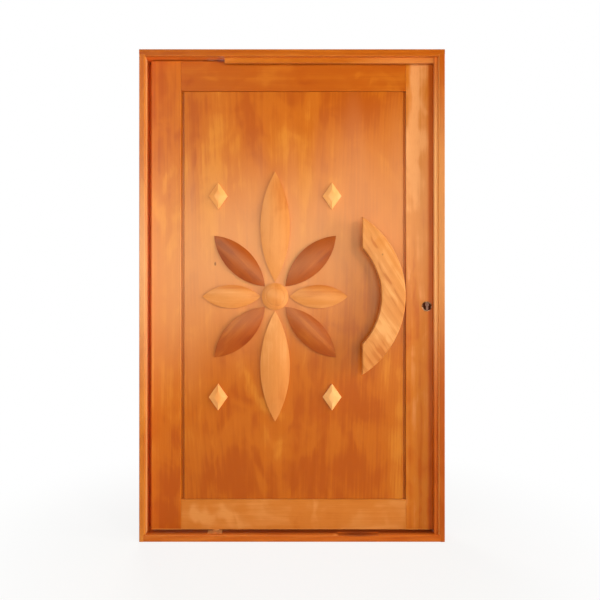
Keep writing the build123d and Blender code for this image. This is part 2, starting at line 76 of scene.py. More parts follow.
# Lamps: place, what they point at, size, watts, colour and whether the gloss shows them
LEAF_MIDDLE = (0.0, 0.0, 1.07)
WARM = (1.0, 0.96, 0.90)
AMBER = (1.0, 0.92, 0.54)
LAMPS = {
    "key": ((4.9, -6.2, 2.9), LEAF_MIDDLE, (2.0, 2.0), 232.0, WARM, False),
    "side": ((8.0, -2.4, 1.5), LEAF_MIDDLE, (3.0, 3.0), 530.0, WARM, False),
    "left": ((-1.58, -2.33, 2.60), LEAF_MIDDLE, (1.3, 1.3), 14.0, WARM, False),
    "strip": ((-0.3, -2.65, 1.55), (-0.3, 0.0, 1.55), (3.0, 1.1), 25.0, AMBER, True),
    "rear": ((-1.2, 3.2, 2.4), LEAF_MIDDLE, (1.6, 1.6), 70.0, WARM, True),
}
STRIP_TILT = math.radians(19)


# Shader trees

class Tree:
    """Adds nodes to an emptied shader tree, and returns their output sockets."""

    def __init__(self, tree):
        self.tree = tree
        self.tree.nodes.clear()
        self.own = self.node("ShaderNodeTexCoord").outputs["Object"]
        self.turned = {(0, 0, 0): self.own}

    def link(self, a, b):
        self.tree.links.new(a, b)

    def node(self, kind, **settings):
        made = self.tree.nodes.new(kind)
        for name, value in settings.items():
            setattr(made, name, value)
        return made

    def put(self, socket, value):
        """Sets a socket to a number or colour, or links it to another socket."""
        if isinstance(value, bpy.types.NodeSocket):
            self.link(value, socket)
        else:
            socket.default_value = value

    def math(self, operation, a, b=0.0, c=None):
        made = self.node("ShaderNodeMath", operation=operation)
        self.put(made.inputs[0], a)
        self.put(made.inputs[1], b)
        if c is not None:
            self.put(made.inputs[2], c)
        return made.outputs[0]

    def split(self, vector):
        made = self.node("ShaderNodeSeparateXYZ")
        self.link(vector, made.inputs[0])
        return made.outputs

    def length(self, vector):
        made = self.node("ShaderNodeVectorMath", operation="LENGTH")
        self.link(vector, made.inputs[0])
        return made.outputs["Value"]

    def stretch(self, vector, scale, offset):
        """A vector times a scale plus an offset, which may be a socket."""
        made = self.node("ShaderNodeVectorMath", operation="MULTIPLY_ADD")
        self.link(vector, made.inputs[0])
        made.inputs[1].default_value = scale
        self.put(made.inputs[2], offset)
        return made.outputs[0]

    def place(self, scale=(1, 1, 1), offset=(0, 0, 0), turn=(0, 0, 0)):
        """The piece's own coordinates in metres, turned, then stretched and moved."""
        if turn not in self.turned:
            rotation = self.node("ShaderNodeMapping")
            self.link(self.own, rotation.inputs["Vector"])
            rotation.inputs["Rotation"].default_value = turn
            self.turned[turn] = rotation.outputs[0]
        return self.stretch(self.turned[turn], scale, offset)

    def noise(self, vector, detail, roughness=0.5, distortion=0.0, scale=1.0, output="Fac"):
        made = self.node("ShaderNodeTexNoise")
        self.link(vector, made.inputs["Vector"])
        made.inputs["Scale"].default_value = scale
        made.inputs["Detail"].default_value = detail
        made.inputs["Roughness"].default_value = roughness
        made.inputs["Distortion"].default_value = distortion
        return made.outputs[output]

    def remap(self, value, start, end, low=0.0, high=1.0, curve="LINEAR"):
        """Takes a socket's range from start to end to the range from low to high."""
        made = self.node("ShaderNodeMapRange", interpolation_type=curve)
        self.link(value, made.inputs["Value"])
        made.inputs["From Min"].default_value = start
        made.inputs["From Max"].default_value = end
        made.inputs["To Min"].default_value = low
        made.inputs["To Max"].default_value = high
        return made.outputs[0]

    def fade(self, value, start, end, low=0.0, high=1.0):
        """As remap, with a soft start and end."""
        return self.remap(value, start, end, low, high, "SMOOTHSTEP")

    def mark(self, vector, centre, half_sizes, lean=0.0, core=0.25):
        """An oval, 1 in its core and 0 outside, its top leaning to the right by some degrees."""
        made = self.node("ShaderNodeMapping", vector_type="TEXTURE")
        self.link(vector, made.inputs["Vector"])
        made.inputs["Location"].default_value = centre
        made.inputs["Rotation"].default_value = (0, math.radians(lean), 0)
        made.inputs["Scale"].default_value = half_sizes
        return self.fade(self.length(made.outputs[0]), core, 1.0, 1.0, 0.0)

    def blend(self, share, a, b):
        made = self.node("ShaderNodeMix", data_type="RGBA")
        self.put(made.inputs["Factor"], share)
        self.put(made.inputs[6], a)
        self.put(made.inputs[7], b)
        return made.outputs[2]

    def bump(self, height, distance, strength):
        made = self.node("ShaderNodeBump")
        made.inputs["Strength"].default_value = strength
        made.inputs["Distance"].default_value = distance
        self.link(height, made.inputs["Height"])
        return made.outputs[0]

    def mix_shaders(self, share, a, b, output):
        """Ends the tree in a mix of two shaders."""
        made = self.node("ShaderNodeMixShader")
        self.link(share, made.inputs[0])
        self.link(a.outputs[0], made.inputs[1])
        self.link(b.outputs[0], made.inputs[2])
        self.link(made.outputs[0], self.node(output).inputs["Surface"])


def rgb(r, g, b):
    """A colour given as it shows, 0 to 255, in the linear values that a shader takes."""
    def one(v):
        v = v / 255
        return v / 12.92 if v <= 0.04045 else ((v + 0.055) / 1.055) ** 2.4
    return (one(r), one(g), one(b), 1.0)


# Camera

def make_camera():
    """A camera at the photograph's viewpoint, shifted sideways to its framing."""
    data = bpy.data.cameras.new("camera")
    data.sensor_width = SENSOR
    data.lens = SENSOR * VIEW_DISTANCE / VIEW_WIDTH
    data.shift_x = (PICTURE_MIDDLE_X - CAMERA_X) / VIEW_WIDTH
    data.clip_end = VIEW_END
    camera = bpy.data.objects.new("camera", data)
    camera.location = (CAMERA_X, FRAME_FRONT_Y - VIEW_DISTANCE, PICTURE_MIDDLE_Z)
    camera.rotation_euler = (math.radians(90), 0, 0)
    scene.collection.objects.link(camera)
    scene.camera = camera


# Light

def make_world():
    """White where the camera looks, and a studio that is dim in front and behind and light at the sides."""
    world = bpy.data.worlds.new("studio")
    scene.world = world
    world.use_nodes = True
    t = Tree(world.node_tree)
    way = t.split(t.node("ShaderNodeTexCoord").outputs["Generated"])
    sideways, forwards, upwards = (t.math("ABSOLUTE", axis) for axis in way)

    # What lights the object: an even dim light, and more from both sides near the horizon
    low_down = t.fade(upwards, *UPWARDS_FADE, 1.0, 0.0)
    level = t.math("MULTIPLY", t.fade(sideways, *SIDEWAYS_FADE), low_down)
    lit = t.node("ShaderNodeBackground")
    lit.inputs["Color"].default_value = WORLD_LIGHT
    t.link(t.math("MULTIPLY_ADD", level, SIDE_LIGHT, AMBIENT), lit.inputs["Strength"])

    # What the camera and the gloss see
    path = t.node("ShaderNodeLightPath").outputs
    camera = path["Is Camera Ray"]
    mirrored = t.math("MAXIMUM", path["Is Glossy Ray"], path["Is Transmission Ray"])
    shown = t.node("ShaderNodeBackground")
    t.link(t.blend(camera, WARM_GLOSS, WHITE), shown.inputs["Color"])
    dim = t.fade(forwards, *FORWARDS_FADE, 1.0, STUDIO_GREY)
    t.link(t.math("MAXIMUM", dim, camera), shown.inputs["Strength"])
    t.mix_shaders(t.math("MAXIMUM", mirrored, camera), lit, shown, "ShaderNodeOutputWorld")


def floor_material():
    """Pale and matt for the light. The camera sees it glow to full white away from the object."""
    material = bpy.data.materials.new("floor_pale")
    material.use_nodes = True
    t = Tree(material.node_tree)
    diffuse = t.node("ShaderNodeBsdfDiffuse")
    diffuse.inputs["Color"].default_value = FLOOR_COLOUR
    path = t.node("ShaderNodeLightPath").outputs
    camera = path["Is Camera Ray"]
    mirrored = t.math("MAXIMUM", path["Is Glossy Ray"], path["Is Transmission Ray"])
    away = t.fade(t.length(t.own), SHADOW_NEAR, SHADOW_FAR, 1.0 - SHADOW_SHARE, 1.0)
    share = t.math("MAXIMUM", t.math("MULTIPLY", camera, away), mirrored)

    # The gloss sees it light at the sides and dim in front
    aside = t.fade(t.math("ABSOLUTE", t.split(t.own)[0]), *ASIDE_FADE, STUDIO_GREY, 1.0)
    glow = t.node("ShaderNodeEmission")
    t.link(t.math("MAXIMUM", aside, camera), glow.inputs["Strength"])
    t.link(t.blend(camera, WARM_GLOSS, WHITE), glow.inputs["Color"])
    t.mix_shaders(share, diffuse, glow, "ShaderNodeOutputMaterial")
    return material


def make_floor():
    """A plain pale floor that keeps the object's shadow near it and fades into the white backdrop."""
    mesh = bpy.data.meshes.new("floor")
    reach = FLOOR_REACH
    corners = [(-reach, -reach, 0), (reach, -reach, 0), (reach, reach, 0), (-reach, reach, 0)]
    mesh.from_pydata(corners, [], [(0, 1, 2, 3)])
    mesh.materials.append(floor_material())
    floor = bpy.data.objects.new("floor", mesh)
    floor.location.z = -FLOOR_DROP
    scene.collection.objects.link(floor)


def make_lights():
    """A key and a side light from the right, a softer one from the left, a wide strip and one behind."""
    for name, (place, aim, size, watts, colour, in_gloss) in LAMPS.items():
        data = bpy.data.lights.new(name, "AREA")
        data.shape = "RECTANGLE"
        data.size, data.size_y = size
        data.energy = watts
        data.color = colour
        lamp = bpy.data.objects.new(name, data)
        lamp.location = place
        lamp.rotation_euler = (Vector(aim) - Vector(place)).to_track_quat("-Z", "Y").to_euler()
        lamp.visible_glossy = in_gloss
        scene.collection.objects.link(lamp)
        if name == "strip":
            lamp.rotation_euler.rotate_axis("Z", -STRIP_TILT)


# Timber

# The turn that brings a board's grain to Z
GRAIN_TURNS = {"X": (0, math.radians(90), 0), "Z": (0, 0, 0)}

# Fields of a timber: waves a metre across and along the grain, detail, roughness and distortion
WANDER = ((1.6, 1.6, 0.55), 2.0, 0.5, 0.0)
FRAY = ((9, 9, 0.9), 3.0, 0.6, 0.0)
BROAD = ((6, 6, 0.5), 2.0, 0.5, 0.4)
MIDDLING = ((38, 38, 1.1), 3.0, 0.6, 0.2)
FINE = ((240, 240, 4.0), 2.0, 0.6, 0.0)
PORES = ((900, 900, 26), 1.0, 0.5, 0.0)
PATCHES = ((10, 10, 6.0), 2.0, 0.45, 0.8)

# The middle of a field's range
FIELD_MIDDLE = 0.5

# How much each field counts in the tone, and the tones at which a timber is dark, plain and light
BROAD_SHARE = 0.8
MIDDLING_SHARE = 0.5
FINE_SHARE = 0.225
DARK_TONE, BODY_TONE, LIGHT_TONE = 0.22, 0.50, 0.82

# Seeds: how far each seed moves the textures, and the span after which that starts again
SHIFTS = ((1.37, 5.0), (2.11, 7.0), (0.73, 3.0))

# Rings: how far the grain wanders in metres, how many rings the fray spans, and the parts of a ring in
# which it darkens to late wood and ends
WANDER_REACH = 0.14
FRAY_RINGS = 1.1
RING_RISE = (0.0, 0.75)
RING_FALL = (0.80, 1.0)

# The trunk's heart behind a board, in metres: its lean in each metre, its least depth and place aside, and
# how they shift from seed to seed
HEART_LEAN = 0.08
HEART_DEPTH = 0.05
HEART_DEPTH_SHIFT = (0.37, 0.12)
HEART_ASIDE = -0.15
HEART_ASIDE_SHIFT = (0.51, 0.30)

# Figure: how far in metres a streak sways, the waves of that, their scale and detail, and how far a streak
# fades out past its size
SWAY_REACH = 0.06
SWAY_WAVES = (6, 6, 3)
SWAY_SCALE = 5.0
SWAY_DETAIL = 0.5
STREAK_SPREAD = 1.25

# Pores: the part of their field that they fill, their share of the dark tone, their depth in metres, and
# how much the fine streaks stand out between them
PORE_FADE = (0.30, 0.42)
PORE_SHARE = 0.28
PORE_DEPTH = 0.00008
PORE_STRENGTH = 0.6
FINE_RELIEF = 0.6

# Varnish: its unevenness, the roughness that this gives, and the settings that are the same all over
VARNISH_UNEVENNESS = (0.3, 0.7)
VARNISH_ROUGHNESS = (0.32, 0.40)
VARNISH = {"Specular IOR Level": 0.40, "Coat Weight": 0.6, "Coat Roughness": 0.28, "Coat IOR": 1.5}

# Painted sheen: a paler band across the wood that stands in for the varnish's glossy glow at mid-height.
# Its height in metres at the middle of the leaf, its rise to the right and its reach, then how strong it is,
# how much it sways and its colour
SHEEN_HEIGHT = 1.32
SHEEN_RISE = 0.33
SHEEN_REACH = 0.60
PAINTED_SHEEN_SHARE = 0.46
SHEEN_SWAY = 0.5
PAINTED_SHEEN_COLOUR = rgb(240, 171, 118)

# A half size that leaves a mark without an end in that direction
EVERYWHERE = 1000.0


def surface(name):
    """A new material, its emptied tree and the inputs of its one shader."""
    material = bpy.data.materials.new(name)
    material.use_nodes = True
    t = Tree(material.node_tree)
    shader = t.node("ShaderNodeBsdfPrincipled")
    t.link(shader.outputs[0], t.node("ShaderNodeOutputMaterial").inputs["Surface"])
    return material, t, shader.inputs


def shifted(seed, step, span):
    """A number from 0 to a span that differs from seed to seed."""
    return seed * step % span


def growth_rings(t, field, turn, seed, rings, cathedral):
    """Rings as a board's face cuts them: 1 in the late wood and 0 in the early wood."""
    x, _, z = t.split(t.place(turn=turn))
    wander = t.math("SUBTRACT", field(WANDER), FIELD_MIDDLE)
    moved = t.math("ADD", x, t.math("MULTIPLY", wander, WANDER_REACH))
    if cathedral:
        middle, steepness, rings = cathedral
        across = t.math("SUBTRACT", moved, middle)
        arch = t.math("MULTIPLY", t.math("MULTIPLY", across, across), steepness)
        level = t.math("SUBTRACT", z, arch)
    else:
        behind = t.math("MULTIPLY_ADD", z, HEART_LEAN, HEART_DEPTH + shifted(seed, *HEART_DEPTH_SHIFT))
        across = t.math("ADD", moved, HEART_ASIDE + shifted(seed, *HEART_ASIDE_SHIFT))
        squares = t.math("MULTIPLY_ADD", across, across, t.math("MULTIPLY", behind, behind))
        level = t.math("SQRT", squares)
    level = t.math("MULTIPLY_ADD", level, rings, t.math("MULTIPLY", field(FRAY), FRAY_RINGS))
    saw = t.math("FRACT", level)
    return t.math("MULTIPLY", t.fade(saw, *RING_RISE), t.fade(saw, *RING_FALL, 1.0, 0.0))


def add_figure(t, tone, shift, figure):
    """Makes the tone paler or darker in soft streaks that sway a little."""
    sway = t.noise(t.place(SWAY_WAVES, shift), SWAY_DETAIL, scale=SWAY_SCALE, output="Color")
    swayed = t.stretch(sway, (SWAY_REACH,) * 3, t.place(offset=(-SWAY_REACH / 2,) * 3))
    for x, z, half_width, half_height, lean, paler in figure:
        half_sizes = (half_width * STREAK_SPREAD, EVERYWHERE, half_height * STREAK_SPREAD)
        streak = t.mark(swayed, (x, 0, z), half_sizes, lean, core=0.0)
        tone = t.math("MULTIPLY_ADD", streak, paler, tone)
    return tone


def painted_sheen_share(t, broad, pale):
    """How much the painted sheen pales the wood at each height: a band that stands in for the varnish's
    glow.
    """
    own = t.split(t.own)
    level = t.math("MULTIPLY_ADD", own[0], -SHEEN_RISE, own[2])
    sway = t.math("MULTIPLY", t.math("SUBTRACT", broad, FIELD_MIDDLE), SHEEN_SWAY)
    height = t.math("ADD", level, sway)
    rise = t.fade(height, SHEEN_HEIGHT - SHEEN_REACH, SHEEN_HEIGHT)
    fall = t.fade(height, SHEEN_HEIGHT, SHEEN_HEIGHT + SHEEN_REACH, 1.0, 0.0)
    return t.math("MULTIPLY", t.math("MULTIPLY", rise, fall), PAINTED_SHEEN_SHARE * pale)


def tone_colour(t, tone, timber):
    """The colour that a timber has at each tone."""
    dark, body, light = timber
    ramp = t.node("ShaderNodeValToRGB")
    ramp.color_ramp.interpolation = "EASE"
    stops = ramp.color_ramp.elements
    stops[0].position, stops[0].color = DARK_TONE, dark
    stops[1].position, stops[1].color = LIGHT_TONE, light
    stops.new(BODY_TONE).color = body
    t.link(tone, ramp.inputs[0])
    return ramp.outputs[0]


def varnish(t, shader, fine, patches, pore):
    """Satin varnish, a little uneven, that sinks into the pores."""
    unevenness = t.math("MULTIPLY", t.math("ADD", fine, patches), 0.5)
    t.link(t.remap(unevenness, *VARNISH_UNEVENNESS, *VARNISH_ROUGHNESS), shader["Roughness"])
    for setting, value in VARNISH.items():
        shader[setting].default_value = value
    relief = t.math("SUBTRACT", t.math("MULTIPLY", fine, FINE_RELIEF), pore)
    t.link(t.bump(relief, PORE_DEPTH, PORE_STRENGTH), shader["Normal"])


def wood(name, turn, timber, seed, rings=24.0, ring_share=0.10, cathedral=None, mottle=0.7, pale=1.0,
         figure=(), stains=()):
    """Varnished wood: growth rings cut by the board's face, streaks, mottle, pores and satin varnish.

    The grain runs along the Z of turned coordinates, so that Z is long in every texture. A cathedral is
    the (middle, steepness, rings a metre) of the nested arches that a plain-sawn face shows. Figure is a
    list of soft streaks in the front view: x, z, half width, half height, lean and how much paler. Pale
    weights the painted sheen, a paler band that stands in for the varnish's glow. Stains are spots of
    another colour, such as knots, and some are painted light and shade: a centre, three half sizes, a
    share and a colour.
    """
    material, t, shader = surface(name)
    shift = tuple(shifted(seed, *pair) for pair in SHIFTS)

    def field(kind, moved=shift):
        waves, *rest = kind
        return t.noise(t.place(waves, moved, turn), *rest)

    # The tone: streaks at three widths, rings, soft patches of an interlocked grain, and the figure
    broad, middling, fine = field(BROAD), field(MIDDLING), field(FINE)
    patches = field(PATCHES, (shift[1], shift[2], shift[0]))
    ring = growth_rings(t, field, turn, seed, rings, cathedral)
    parts = ((middling, MIDDLING_SHARE), (fine, FINE_SHARE), (ring, -ring_share), (patches, mottle))
    tone = t.math("MULTIPLY_ADD", broad, BROAD_SHARE, BODY_TONE - BROAD_SHARE / 2)
    for part, share in parts:
        tone = t.math("ADD", tone, t.math("MULTIPLY_ADD", part, share, -share / 2))
    if figure:
        tone = add_figure(t, tone, shift, figure)

    # The colour: the timber's tones, dark pores, the painted sheen, and stains, some of which are painted
    # light and shade
    pore = t.fade(field(PORES), *PORE_FADE, 1.0, 0.0)
    colour = t.blend(t.math("MULTIPLY", pore, PORE_SHARE), tone_colour(t, tone, timber), timber[0])
    # Painted sheen: the paler band that stands in for the varnish's glow at mid-height
    if pale:
        colour = t.blend(painted_sheen_share(t, broad, pale), colour, PAINTED_SHEEN_COLOUR)
    for centre, half_sizes, share, stain in stains:
        colour = t.blend(t.math("MULTIPLY", t.mark(t.own, centre, half_sizes), share), colour, stain)
    t.link(colour, shader["Base Color"])
    varnish(t, shader, fine, patches, pore)
    return material


def tones(dark, body, light):
    """The three colours of a timber, given as they show."""
    return rgb(*dark), rgb(*body), rgb(*light)


JAMB = tones((196, 98, 22), (214, 124, 38), (230, 148, 66))
LOCK_JAMB = tones((166, 68, 2), (179, 81, 4), (195, 99, 18))
# Painted light: the rear stop beside the pivot stile is a brighter, redder tone, standing in for the light
# that bounces into the gap beside the leaf
PAINTED_BOUNCE_STOP = tones((238, 118, 36), (247, 132, 48), (252, 148, 66))
LOCK_STOP = tones((202, 92, 14), (216, 108, 24), (228, 124, 40))
PIVOT_STILE = tones((186, 84, 2), (203, 105, 10), (219, 131, 36))
LOCK_STILE = tones((195, 91, 0), (209, 117, 26), (237, 160, 98))
TOP_RAIL = tones((174, 75, 3), (186, 89, 6), (200, 108, 20))
BOTTOM_RAIL = tones((196, 104, 20), (209, 122, 42), (224, 146, 74))
PANEL = tones((182, 84, 4), (198, 103, 12), (214, 128, 34))
HEAD = tones((174, 77, 4), (189, 95, 10), (202, 110, 26))
HEAD_STOP = tones((180, 88, 10), (196, 107, 20), (209, 122, 38))
SILL = tones((190, 86, 8), (203, 101, 20), (214, 118, 38))
PULL = tones((196, 108, 38), (217, 138, 68), (234, 164, 98))
STUD = tones((240, 158, 84), (250, 175, 102), (253, 190, 122))
PALE_INLAY = tones((206, 116, 46), (222, 140, 68), (234, 158, 92))
DARK_INLAY = tones((150, 58, 2), (172, 77, 8), (194, 102, 26))

# The streaks, swirls and mottle that the photograph shows on each board
PANEL_FIGURE = (
    (-0.336, 1.62, 0.085, 0.42, 2, 0.26), (-0.20, 1.80, 0.045, 0.23, -22, -0.20),
    (-0.14, 1.86, 0.020, 0.14, -26, -0.10), (-0.02, 1.79, 0.070, 0.17, -8, 0.16),
    (0.144, 1.90, 0.022, 0.15, 6, -0.14), (0.377, 1.90, 0.110, 0.12, 0, -0.14),
    (0.20, 1.62, 0.050, 0.28, 3, 0.12), (-0.43, 1.69, 0.011, 0.05, 0, -0.30),
    (-0.44, 1.93, 0.040, 0.09, 0, -0.16), (-0.195, 0.70, 0.030, 0.13, -17, 0.30),
    (-0.10, 0.58, 0.028, 0.12, -56, 0.28), (-0.076, 0.42, 0.180, 0.17, 0, 0.11),
    (-0.165, 0.36, 0.030, 0.14, -30, -0.16), (-0.37, 0.30, 0.110, 0.17, 0, -0.14),
    (-0.345, 0.40, 0.014, 0.16, 0, 0.14), (0.22, 0.33, 0.110, 0.17, 4, -0.14),
    (0.30, 0.47, 0.016, 0.20, 3, 0.10), (0.45, 0.35, 0.050, 0.17, 0, 0.06),
    (0.22, 0.62, 0.240, 0.18, 0, -0.15), (-0.04, 0.52, 0.200, 0.13, 0, -0.08),
    (0.00, 0.26, 0.700, 0.30, 0, -0.12), (0.00, 1.98, 0.700, 0.20, 0, -0.16),
)
PIVOT_STILE_FIGURE = (
    (-0.56, 1.62, 0.030, 0.10, 10, 0.28), (-0.59, 1.45, 0.030, 0.14, -12, 0.26),
    (-0.54, 1.30, 0.024, 0.10, 14, 0.22), (-0.57, 1.88, 0.030, 0.10, 0, 0.14),
    (-0.58, 1.98, 0.080, 0.24, 0, -0.16), (-0.52, 1.80, 0.030, 0.14, 0, -0.14),
    (-0.57, 0.22, 0.060, 0.26, 0, -0.14), (-0.56, 0.66, 0.050, 0.18, 0, 0.16),
)
LOCK_STILE_FIGURE = (
    (0.545, 1.85, 0.052, 0.46, 0, 0.36), (0.55, 1.20, 0.012, 0.22, 0, -0.16),
    (0.59, 0.62, 0.030, 0.24, 4, -0.08), (0.54, 0.42, 0.030, 0.20, -4, -0.05),
)
TOP_RAIL_FIGURE = (
    (0.30, 2.08, 0.020, 0.035, 45, 0.20), (0.36, 2.05, 0.020, 0.035, 50, 0.18),
    (0.43, 2.03, 0.020, 0.030, 50, 0.18), (-0.36, 2.06, 0.060, 0.040, 0, 0.18),
    (-0.12, 2.05, 0.050, 0.035, 60, 0.14), (-0.46, 2.04, 0.022, 0.04, 30, -0.14),
)
BOTTOM_RAIL_FIGURE = (
    (-0.40, 0.10, 0.070, 0.045, 30, 0.34), (-0.30, 0.11, 0.060, 0.034, 60, 0.26),
    (-0.24, 0.08, 0.060, 0.016, 70, 0.16), (0.02, 0.06, 0.080, 0.020, 80, -0.18),
    (0.10, 0.13, 0.120, 0.014, 84, 0.16), (0.30, 0.10, 0.030, 0.050, 30, 0.10),
    (0.20, 0.09, 0.060, 0.060, 0, -0.16), (0.42, 0.09, 0.040, 0.020, 60, 0.08),
)
PULL_FIGURE = (
    (0.36, 1.33, 0.012, 0.10, -35, -0.24), (0.40, 1.20, 0.012, 0.10, -25, -0.20),
    (0.43, 1.10, 0.014, 0.09, -30, 0.22), (0.36, 0.86, 0.012, 0.08, -40, -0.20),
    (0.42, 0.92, 0.016, 0.08, -25, 0.20), (0.37, 0.84, 0.090, 0.10, 0, -0.24),
)
JAMB_FIGURE = ((-0.66, 0.30, 0.060, 0.32, 0, -0.24),)

# Knots, and a painted highlight along the leaf's lower arris, a light line where the arris catches the
# light.
# Its light colour also serves the chip on the sill
KNOT = rgb(112, 52, 18)
WEAR_AND_HIGHLIGHT = rgb(236, 150, 76)
PANEL_KNOT = ((-0.3437, 0, 1.230), (0.0060, EVERYWHERE, 0.012), 0.85, KNOT)
PULL_KNOT = ((0.396, 0, 1.267), (0.0055, EVERYWHERE, 0.007), 0.45, KNOT)
PAINTED_ARRIS_HIGHLIGHT = ((0, 0, 0.0405), (EVERYWHERE, EVERYWHERE, 0.0035), 0.75, WEAR_AND_HIGHLIGHT)

# Painted light: paler colour on the reveals beside the leaf, which lifts faces that the lamps leave in shade
PAINTED_LIGHT_REVEAL = ((-0.648, -0.046, 0), (0.008, 0.022, EVERYWHERE), 0.62, rgb(254, 194, 128))
PAINTED_LIGHT_LOCK_REVEAL = ((0.648, -0.060, 0), (0.004, 0.020, EVERYWHERE), 0.95, rgb(255, 176, 92))

# Painted sheen half way up the lock side, paler colour that stands in for the varnish's glow, and a painted
# highlight at the right end of the head's stop
PAINTED_HIGHLIGHT_STOP_END = ((0.60, 0, 2.13), (0.40, EVERYWHERE, EVERYWHERE), 0.42, rgb(236, 152, 84))
PAINTED_SHEEN_STOP = ((0.64, 0, 1.40), (EVERYWHERE, EVERYWHERE, 0.85), 0.90, rgb(254, 188, 124))
PAINTED_SHEEN_JAMB = ((0.66, 0, 1.42), (EVERYWHERE, EVERYWHERE, 0.74), 0.60, rgb(224, 159, 97))

# Painted light: brighter, redder colour in the gap beside the leaf and on the head's underside, standing in
# for the light that bounces into these shaded places
PAINTED_BOUNCE = rgb(250, 128, 46)
PAINTED_BOUNCE_REVEAL = ((-0.648, 0.012, 0), (0.008, 0.046, EVERYWHERE), 0.72, PAINTED_BOUNCE)
PAINTED_BOUNCE_LEAF_EDGE = ((-0.630, -0.007, 0), (0.004, 0.030, EVERYWHERE), 0.85, PAINTED_BOUNCE)
PAINTED_BOUNCE_HEAD_UNDERSIDE = ((0, -0.032, 2.144), (EVERYWHERE, 0.042, 0.006), 0.92, rgb(252, 138, 54))

# Dark red marks about the upper pivot, on the head's underside and on the top rail's top
HEAD_MARK = ((-0.318, -0.030, 2.140), (0.026, 0.036, 0.014), 0.80, rgb(236, 80, 18))
RAIL_MARK = ((-0.318, 0, 2.141), (0.026, EVERYWHERE, 0.014), 0.85, rgb(130, 36, 8))

# Painted shadow: darker, redder colour along the edge of the lock stile beside the stop, where the stop
# casts its shadow
PAINTED_SHADOW_STOP_EDGE = ((0.626, -0.030, 0), (0.024, 0.006, EVERYWHERE), 0.68, rgb(206, 86, 4))

# Painted shade on the sill's top in front of and under the leaf, darker colour on its worn flat, and the
# chip beside it
DARKER_SILL = rgb(134, 52, 10)
SILL_MARKS = (
    ((0, -0.034, 0.033), (EVERYWHERE, 0.030, 0.006), 0.95, DARKER_SILL),
    ((0.294, -0.050, 0.0275), (0.115, 0.040, 0.007), 0.9, DARKER_SILL),
    ((0.190, -0.062, 0.0285), (0.018, 0.012, 0.005), 0.8, WEAR_AND_HIGHLIGHT),
)

# Node: grain axis, timber, seed and what differs from plain wood
# Among the stains are painted light, painted shade and painted highlights; pale weights the painted sheen
BOARDS = {
    "pivot_jamb": ("Z", JAMB, 1, {"pale": 1.7, "figure": JAMB_FIGURE, "stains": (PAINTED_LIGHT_REVEAL, PAINTED_BOUNCE_REVEAL)}),
    "lock_jamb": ("Z", LOCK_JAMB, 2, {"pale": 0.0, "stains": (PAINTED_SHEEN_JAMB, PAINTED_LIGHT_LOCK_REVEAL)}),
    "head_jamb": ("X", HEAD, 3, {"rings": 40.0, "ring_share": 0.2, "mottle": 0.4,
                                 "stains": (PAINTED_BOUNCE_HEAD_UNDERSIDE, HEAD_MARK)}),
    "sill": ("X", SILL, 4, {"rings": 40.0, "ring_share": 0.2, "mottle": 0.4, "stains": SILL_MARKS}),
    "pivot_jamb_stop": ("Z", PAINTED_BOUNCE_STOP, 5, {"pale": 0.0}),
    "lock_jamb_stop": ("Z", LOCK_STOP, 6, {"pale": 0.0, "stains": (PAINTED_SHEEN_STOP,)}),
    "head_stop_front": ("X", HEAD_STOP, 7, {"stains": (PAINTED_HIGHLIGHT_STOP_END,)}),
    "head_stop_rear": ("X", HEAD, 8, {}),
    "pivot_stile": ("Z", PIVOT_STILE, 9, {"figure": PIVOT_STILE_FIGURE, "stains": (PAINTED_ARRIS_HIGHLIGHT, PAINTED_BOUNCE_LEAF_EDGE)}),
    "lock_stile": ("Z", LOCK_STILE, 10, {"figure": LOCK_STILE_FIGURE, "stains": (PAINTED_ARRIS_HIGHLIGHT, PAINTED_SHADOW_STOP_EDGE)}),
    "top_rail": ("X", TOP_RAIL, 11, {"ring_share": 0.05, "figure": TOP_RAIL_FIGURE, "stains": (RAIL_MARK,)}),
    "bottom_rail": ("X", BOTTOM_RAIL, 12, {"ring_share": 0.05, "figure": BOTTOM_RAIL_FIGURE,
                                           "stains": (PAINTED_ARRIS_HIGHLIGHT,)}),
    "centre_panel": ("Z", PANEL, 13, {"cathedral": (-0.07, 24.0, 3.2), "ring_share": 0.07,
                                      "figure": PANEL_FIGURE, "stains": (PANEL_KNOT,)}),
}
PULL_GRAIN_LEAN = math.radians(32)

# The way that each petal points, in degrees from the top to the right
PETALS = {"north": 0, "north_east": 45, "east": 90, "south_east": 135, "south": 180, "south_west": 225,
          "west": 270, "north_west": 315}


def dress(node, material):
    """Gives one material to every slot of a node."""
    nodes[node].data.materials.clear()
    nodes[node].data.materials.append(material)


def dress_boards():
    for node, (grain, timber, seed, more) in BOARDS.items():
        dress(node, wood("wood_" + node, GRAIN_TURNS[grain], timber, seed, **more))


def dress_pull():
    """One pale timber for the crescent and its posts, with the grain down to the right."""
    turn = (0, PULL_GRAIN_LEAN, 0)
    material = wood("wood_pull", turn, PULL, 21, rings=30.0, ring_share=0.16, pale=0.0,
                    figure=PULL_FIGURE, stains=(PULL_KNOT,))
    for node in ("pull_handle", "upper_handle_post", "lower_handle_post"):
        dress(node, material)


def dress_rosette():
    """Light and dark petals by turns, each with its grain along it."""
    for at, (side, angle) in enumerate(PETALS.items()):
        timber = DARK_INLAY if "_" in side else PALE_INLAY
        turn = (0, math.radians(-angle), 0)
        dress("petal_" + side, wood("wood_petal_" + side, turn, timber, 30 + at, pale=0.0))
    upright = GRAIN_TURNS["Z"]
    dress("rosette_boss", wood("wood_boss", upright, PALE_INLAY, 41, pale=0.0))
    for at, name in enumerate(("upper_left", "upper_right", "lower_left", "lower_right")):
        dress("stud_" + name, wood("wood_stud_" + name, upright, STUD, 50 + at, pale=0.0))


# Metal

